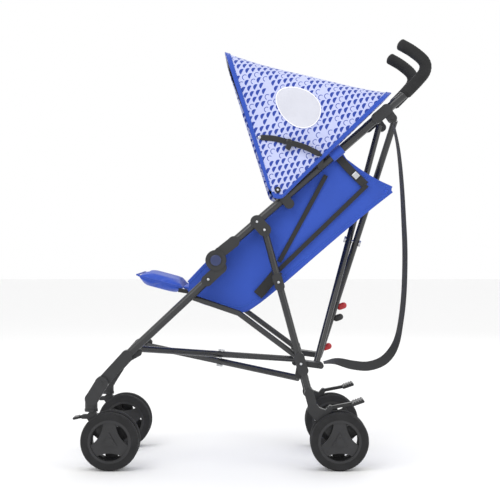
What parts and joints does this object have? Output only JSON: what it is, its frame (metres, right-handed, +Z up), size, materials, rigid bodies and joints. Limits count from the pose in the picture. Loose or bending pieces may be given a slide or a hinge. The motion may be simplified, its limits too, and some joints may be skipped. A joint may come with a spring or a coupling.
{
  "type": "baby stroller",
  "caption": "Umbrella stroller with crossed-bar folding frame, sling seat, calf rest, sun canopy, twin swivel front wheels and braked rear wheels.",
  "frame": {"origin": "on the ground under the middle of the stroller's length and width", "axes": "+X to the rear, +Z up, mirrored about Y = 0 apart from the strap and the crossing order of the bars"},
  "size_m": [0.8647, 0.446, 1.0464],
  "materials": {
    "black_tube": "satin",
    "bracket_plastic": "moulded, fine grain",
    "rim_plastic": "moulded, slight sheen",
    "tyre_foam": "matt foam rubber",
    "steel": "zinc plated",
    "foam_grip": "matt foam",
    "lever_plastic": "satin",
    "printed_cloth": "pale blue woven cloth with a blue scallop print",
    "blue_cloth": "royal blue woven cloth",
    "webbing": "black woven webbing"
  },
  "bodies": {
    "centre": {"seat": "blue_cloth", "calf_rest": "blue_cloth", "lower_pin": "steel", "rear_pin": "steel"},
    "left_side": {"left_front_leg": "black_tube", "left_upper_tube": "black_tube", "left_hub": "bracket_plastic", "left_grip": "foam_grip", "left_rear_leg": "black_tube", "left_leg_bracket": "bracket_plastic", "left_strut_bracket": "bracket_plastic", "left_lower_bracket": "bracket_plastic", "left_seat_rail": "black_tube", "left_front_foot": "bracket_plastic", "left_rear_housing": "bracket_plastic", "left_canopy_clamp": "bracket_plastic", "carry_strap": "webbing"},
    "left_caster": {"left_caster": "bracket_plastic"},
    "left_lock_lever": {"left_lock_lever": "lever_plastic"},
    "left_front_wheels": {"left_front_rims": "rim_plastic", "left_front_tyres": "tyre_foam", "left_front_axle": "steel"},
    "left_rear_wheels": {"left_rear_rims": "rim_plastic", "left_rear_tyres": "tyre_foam", "left_rear_axle": "steel"},
    "left_brake_pedal": {"left_brake_pedal": "lever_plastic"},
    "left_canopy": {"left_canopy_bow": "lever_plastic", "left_canopy": "printed_cloth"},
    "left_front_strut": {"left_front_strut": "lever_plastic"},
    "left_rear_strut": {"left_rear_strut": "lever_plastic"},
    "right_side": {"right_front_leg": "black_tube", "right_upper_tube": "black_tube", "right_hub": "bracket_plastic", "right_grip": "foam_grip", "right_rear_leg": "black_tube", "right_leg_bracket": "bracket_plastic", "right_strut_bracket": "bracket_plastic", "right_lower_bracket": "bracket_plastic", "right_seat_rail": "black_tube", "right_front_foot": "bracket_plastic", "right_rear_housing": "bracket_plastic", "right_canopy_clamp": "bracket_plastic"},
    "right_caster": {"right_caster": "bracket_plastic"},
    "right_lock_lever": {"right_lock_lever": "lever_plastic"},
    "right_front_wheels": {"right_front_rims": "rim_plastic", "right_front_tyres": "tyre_foam", "right_front_axle": "steel"},
    "right_rear_wheels": {"right_rear_rims": "rim_plastic", "right_rear_tyres": "tyre_foam", "right_rear_axle": "steel"},
    "right_brake_pedal": {"right_brake_pedal": "lever_plastic"},
    "right_canopy": {"right_canopy_bow": "lever_plastic", "right_canopy": "printed_cloth"},
    "right_front_strut": {"right_front_strut": "lever_plastic"},
    "right_rear_strut": {"right_rear_strut": "lever_plastic"},
    "lower_bar_a": {"lower_bar_a": "black_tube"},
    "lower_bar_b": {"lower_bar_b": "black_tube"},
    "rear_bar_a": {"rear_bar_a": "black_tube"},
    "rear_bar_b": {"rear_bar_b": "black_tube"}
  },
  "joints": [
    {"name": "fold", "type": "slide", "parent": "centre", "child": "left_side", "axis": [0, 1, 0], "range_m": [0, 0.095], "deforming": ["seat", "calf_rest", "left_canopy", "left_canopy_bow", "right_canopy", "right_canopy_bow"]},
    {"name": "left_caster_swivel", "type": "hinge", "parent": "left_side", "child": "left_caster", "pos_m": [-0.3897, -0.188, 0.16], "axis": [0, 0, 1], "continuous": true},
    {"name": "left_front_wheels_spin", "type": "hinge", "parent": "left_caster", "child": "left_front_wheels", "pos_m": [-0.3434, -0.188, 0.07], "axis": [0, 1, 0], "continuous": true},
    {"name": "left_rear_wheels_spin", "type": "hinge", "parent": "left_side", "child": "left_rear_wheels", "pos_m": [0.2055, -0.188, 0.07], "axis": [0, 1, 0], "continuous": true},
    {"name": "left_lock_lever_press", "type": "hinge", "parent": "left_caster", "child": "left_lock_lever", "pos_m": [-0.4087, -0.188, 0.127], "axis": [0, 1, 0], "range_deg": [-20, 0]},
    {"name": "left_brake_press", "type": "hinge", "parent": "left_side", "child": "left_brake_pedal", "pos_m": [0.184, -0.188, 0.148], "axis": [0, 1, 0], "range_deg": [0, 12]},
    {"name": "canopy_fold", "type": "hinge", "parent": "left_side", "child": "left_canopy", "pos_m": [0.058, -0.18, 0.671], "axis": [0, 1, 0], "range_deg": [0, 60], "deforming": ["left_canopy", "right_canopy"]},
    {"name": "left_front_strut_turn", "type": "hinge", "parent": "left_canopy", "child": "left_front_strut", "pos_m": [0.0137, -0.187, 0.797], "axis": [0, 1, 0], "range_deg": [-132, 0]},
    {"name": "left_rear_strut_turn", "type": "hinge", "parent": "left_side", "child": "left_rear_strut", "pos_m": [0.1616, -0.19, 0.7546], "axis": [0, 1, 0], "range_deg": [0, 80]},
    {"name": "right_side_slide", "type": "slide", "parent": "centre", "child": "right_side", "axis": [0, -1, 0], "range_m": [0, 0.095]},
    {"name": "right_caster_swivel", "type": "hinge", "parent": "right_side", "child": "right_caster", "pos_m": [-0.3897, 0.188, 0.16], "axis": [0, 0, 1], "continuous": true},
    {"name": "right_front_wheels_spin", "type": "hinge", "parent": "right_caster", "child": "right_front_wheels", "pos_m": [-0.3434, 0.188, 0.07], "axis": [0, 1, 0], "continuous": true},
    {"name": "right_rear_wheels_spin", "type": "hinge", "parent": "right_side", "child": "right_rear_wheels", "pos_m": [0.2055, 0.188, 0.07], "axis": [0, 1, 0], "continuous": true},
    {"name": "right_lock_lever_press", "type": "hinge", "parent": "right_caster", "child": "right_lock_lever", "pos_m": [-0.4087, 0.188, 0.127], "axis": [0, 1, 0], "range_deg": [-20, 0]},
    {"name": "right_brake_press", "type": "hinge", "parent": "right_side", "child": "right_brake_pedal", "pos_m": [0.184, 0.188, 0.148], "axis": [0, 1, 0], "range_deg": [0, 12]},
    {"name": "right_canopy_fold", "type": "hinge", "parent": "right_side", "child": "right_canopy", "pos_m": [0.058, 0.18, 0.671], "axis": [0, 1, 0], "range_deg": [0, 60]},
    {"name": "right_front_strut_turn", "type": "hinge", "parent": "right_canopy", "child": "right_front_strut", "pos_m": [0.0137, 0.187, 0.797], "axis": [0, 1, 0], "range_deg": [-132, 0]},
    {"name": "right_rear_strut_turn", "type": "hinge", "parent": "right_side", "child": "right_rear_strut", "pos_m": [0.1616, 0.19, 0.7546], "axis": [0, 1, 0], "range_deg": [0, 80]},
    {"name": "lower_bar_a_turn", "type": "hinge", "parent": "centre", "child": "lower_bar_a", "pos_m": [-0.0845, 0, 0.2515], "axis": [0.1357, 0, 0.9908], "range_deg": [-28.07, 0]},
    {"name": "lower_bar_b_turn", "type": "hinge", "parent": "centre", "child": "lower_bar_b", "pos_m": [-0.0845, 0, 0.2515], "axis": [0.1357, 0, 0.9908], "range_deg": [0, 28.07]},
    {"name": "rear_bar_a_turn", "type": "hinge", "parent": "centre", "child": "rear_bar_a", "pos_m": [0.2493, 0, 0.5462], "axis": [0.96, 0, -0.2801], "range_deg": [-17.66, 0]},
    {"name": "rear_bar_b_turn", "type": "hinge", "parent": "centre", "child": "rear_bar_b", "pos_m": [0.2493, 0, 0.5462], "axis": [0.96, 0, -0.2801], "range_deg": [0, 17.66]}
  ],
  "couplings": [
    {"joint": "left_front_strut_turn", "follows": "canopy_fold", "ratio": -2.2},
    {"joint": "left_rear_strut_turn", "follows": "canopy_fold", "ratio": 1.3333},
    {"joint": "right_side_slide", "follows": "fold", "ratio": 1},
    {"joint": "right_canopy_fold", "follows": "canopy_fold", "ratio": 1},
    {"joint": "right_front_strut_turn", "follows": "canopy_fold", "ratio": -2.2},
    {"joint": "right_rear_strut_turn", "follows": "canopy_fold", "ratio": 1.3333},
    {"joint": "lower_bar_a_turn", "follows": "fold", "rad_per_m": -5.1202},
    {"joint": "lower_bar_b_turn", "follows": "fold", "rad_per_m": 5.1202},
    {"joint": "rear_bar_a_turn", "follows": "fold", "rad_per_m": -3.2085},
    {"joint": "rear_bar_b_turn", "follows": "fold", "rad_per_m": 3.2085}
  ]
}
